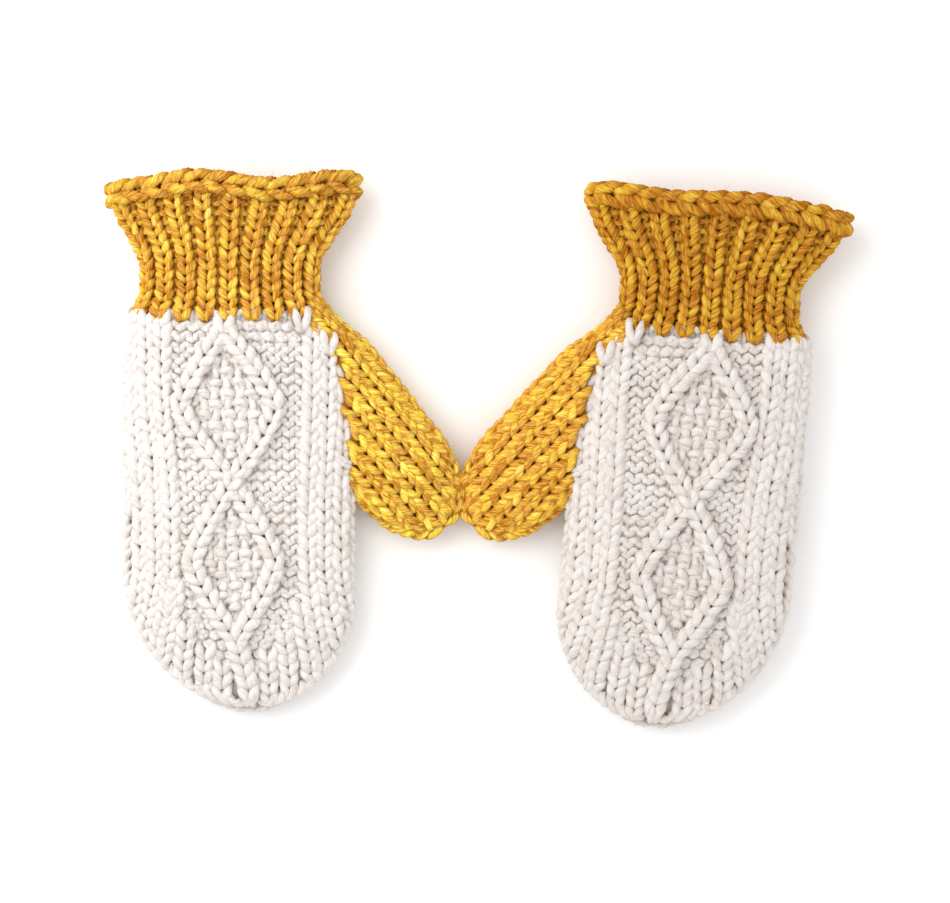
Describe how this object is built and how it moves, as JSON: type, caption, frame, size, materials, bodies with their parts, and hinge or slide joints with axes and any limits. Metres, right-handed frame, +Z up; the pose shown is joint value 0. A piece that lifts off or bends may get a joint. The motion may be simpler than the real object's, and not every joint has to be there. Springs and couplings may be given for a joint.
{
  "type": "convertible mittens",
  "caption": "Pair of chunky hand-knit mittens with flared rib cuffs, contrast thumbs, cabled backs and hinged fingertip caps over ribbed finger openings.",
  "frame": {"origin": "on the table under the middle of the pair, at the centre of its box", "axes": "+X across the pair, from the right-hand mitten to the left-hand one; +Y from the fingertips to the cuffs; +Z up from the table, out of the backs of the hands"},
  "size_m": [0.3526, 0.2594, 0.0299],
  "materials": {
    "mustard_rib": "mustard and orange marled wool in knit-one purl-one rib, with a chained edge",
    "mustard_plain": "mustard and orange marled wool in plain knit",
    "cream_cable": "cream wool, raised diamond cables on a purl ground",
    "cream_plain": "cream wool in plain knit",
    "cream_rib": "cream wool in rib"
  },
  "bodies": {
    "right_hand": {"right_cuff": "mustard_rib", "right_cuff_edge": "mustard_rib", "right_hand_back": "cream_cable", "right_hand_palm": "cream_plain", "right_thumb_gusset": "mustard_plain", "right_finger_rib": "cream_rib"},
    "right_cap": {"right_flap_back": "cream_cable", "right_flap_palm": "cream_plain", "right_flap_lip": "cream_rib"},
    "right_thumb_tube": {"right_thumb": "mustard_plain"},
    "left_hand": {"left_cuff": "mustard_rib", "left_cuff_edge": "mustard_rib", "left_hand_back": "cream_cable", "left_hand_palm": "cream_plain", "left_thumb_gusset": "mustard_plain", "left_finger_rib": "cream_rib"},
    "left_cap": {"left_flap_back": "cream_cable", "left_flap_palm": "cream_plain", "left_flap_lip": "cream_rib"},
    "left_thumb_tube": {"left_thumb": "mustard_plain"}
  },
  "joints": [
    {"name": "pair_slide", "type": "slide", "parent": "right_hand", "child": "left_hand", "axis": [1, 0, 0], "range_m": [0, 0.04]},
    {"name": "right_flap_hinge", "type": "hinge", "parent": "right_hand", "child": "right_cap", "pos_m": [-0.11068, -0.03233, 0.034], "axis": [-1, 0, 0], "range_deg": [0, 170]},
    {"name": "left_flap_hinge", "type": "hinge", "parent": "left_hand", "child": "left_cap", "pos_m": [0.09701, -0.04036, 0.034], "axis": [-0.9962, 0.0872, 0], "range_deg": [0, 170]},
    {"name": "right_thumb_swing", "type": "hinge", "parent": "right_hand", "child": "right_thumb_tube", "pos_m": [-0.03512, -0.01109, 0], "axis": [0, 0, 1], "range_deg": [-20, 0]},
    {"name": "left_thumb_swing", "type": "hinge", "parent": "left_hand", "child": "left_thumb_tube", "pos_m": [0.02358, -0.01262, 0], "axis": [0, 0, -1], "range_deg": [-20, 0]}
  ]
}
